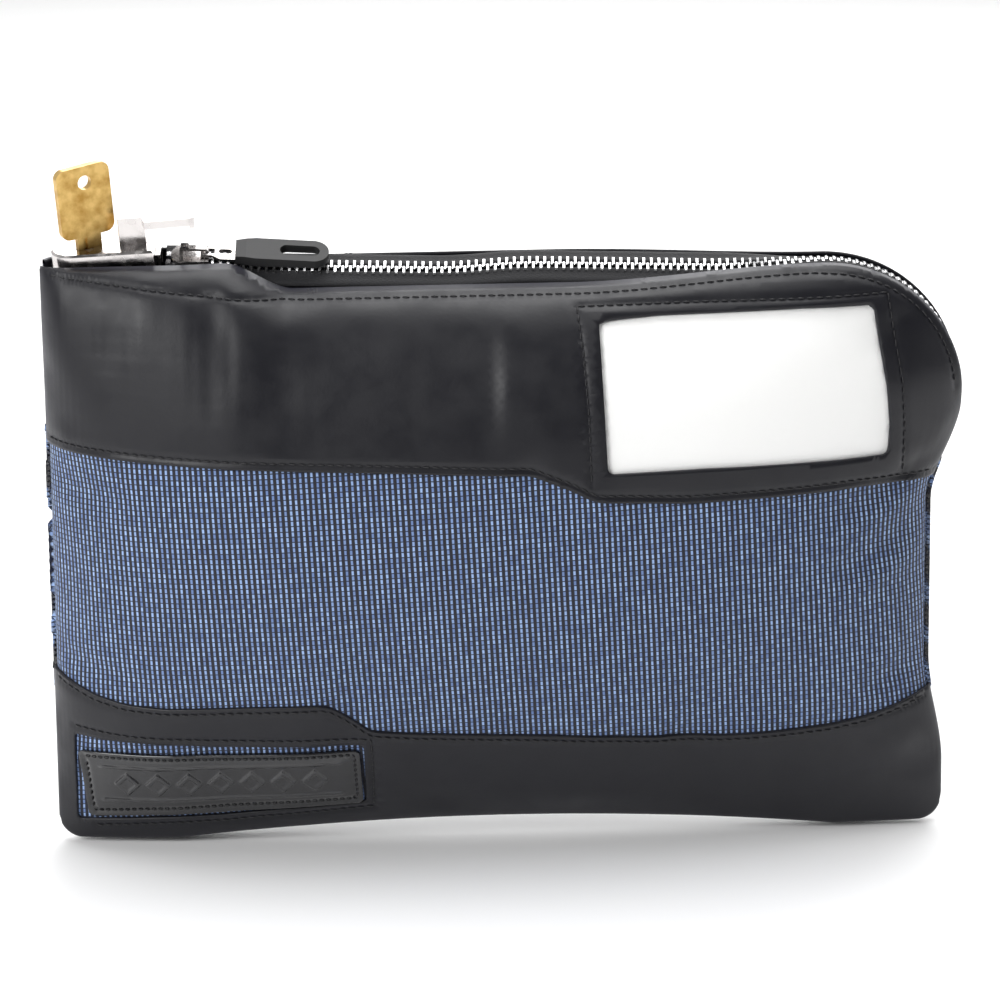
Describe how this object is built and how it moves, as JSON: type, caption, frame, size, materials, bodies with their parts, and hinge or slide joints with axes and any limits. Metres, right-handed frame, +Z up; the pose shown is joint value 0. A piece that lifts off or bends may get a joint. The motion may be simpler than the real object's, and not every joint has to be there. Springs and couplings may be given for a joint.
{
  "type": "locking cash deposit bag",
  "caption": "Stuffed vinyl and woven fabric deposit pouch with a label window, metal zipper and a key lock whose press-down arm covers the slider.",
  "frame": {"origin": "on the ground plane under the middle of the bag, centred between its ends and its faces", "axes": "+X along the bag from the lock to the rounded corner, -Y out of the face with the window, +Z up"},
  "size_m": [0.3059, 0.082, 0.2366],
  "materials": {
    "vinyl": "satin black coated vinyl",
    "woven_fabric": "woven blue and black",
    "clear_film": "clear film",
    "card": "white card",
    "lining": "black lining",
    "patch_leather": "gloss black embossed",
    "tape": "black woven tape",
    "zip_metal": "bright",
    "slider_metal": "nickel",
    "grip_rubber": "matt black",
    "lock_chrome": "satin chrome",
    "key_brass": "satin worn",
    "pin_brass": "machined",
    "steel": "plain",
    "spring_steel": "plain"
  },
  "bodies": {
    "root": {"front_top_panel": "vinyl", "back_top_panel": "vinyl", "front_fabric_panel": "woven_fabric", "back_fabric_panel": "woven_fabric", "bottom_panel": "vinyl", "window_film": "clear_film", "label_card": "card", "window_pocket": "lining", "badge_backing": "woven_fabric", "badge_patch": "patch_leather", "zipper_teeth_front": "zip_metal", "zipper_teeth_back": "zip_metal", "zipper_tape_front": "tape", "zipper_tape_back": "tape", "zipper_bottom_stop": "zip_metal", "zipper_top_stops": "zip_metal", "zipper_anchor": "slider_metal", "lock_housing": "lock_chrome", "lock_base_plate": "steel", "base_screws": "steel", "driver_pins": "pin_brass", "driver_springs": "spring_steel", "chamber_cap": "steel", "plunger_spring": "spring_steel"},
    "plug": {"cylinder_plug": "lock_chrome", "key_pins": "pin_brass", "plug_cam": "steel"},
    "key": {"key": "key_brass"},
    "arm": {"locking_arm": "lock_chrome"},
    "latch": {"latch_bolt": "steel"},
    "slider": {"slider_body": "slider_metal", "slider_crown": "slider_metal"},
    "pull": {"pull_plate": "slider_metal", "pull_grip": "grip_rubber"}
  },
  "joints": [
    {"name": "plug_turn", "type": "hinge", "parent": "root", "child": "plug", "pos_m": [-0.1327, 0, 0.2078], "axis": [-0.0432, -0.139, 0.9893], "range_deg": [-31, 59]},
    {"name": "key_withdraw", "type": "slide", "parent": "plug", "child": "key", "axis": [-0.0432, -0.139, 0.9893], "range_m": [0, 0.022]},
    {"name": "arm_press", "type": "slide", "parent": "root", "child": "arm", "axis": [-0.0432, -0.139, 0.9893], "range_m": [-0.0062, 0], "stiffness_N_per_m": 300, "springref_m": 0.004, "deforming": ["plunger_spring"]},
    {"name": "latch_slide", "type": "slide", "parent": "root", "child": "latch", "axis": [0.999, 0, 0.0436], "range_m": [-0.00103, 0.00197]},
    {"name": "slider_travel", "type": "slide", "parent": "root", "child": "slider", "axis": [0.9994, 0, -0.0349], "range_m": [0, 0.122]},
    {"name": "pull_swing", "type": "hinge", "parent": "slider", "child": "pull", "pos_m": [-0.09569, -0.00176, 0.20576], "axis": [-0.0164, -0.8831, -0.469], "range_deg": [0, 85]}
  ],
  "couplings": [
    {"joint": "plug_turn", "follows": "latch_slide", "rad_per_m": 523.56}
  ]
}
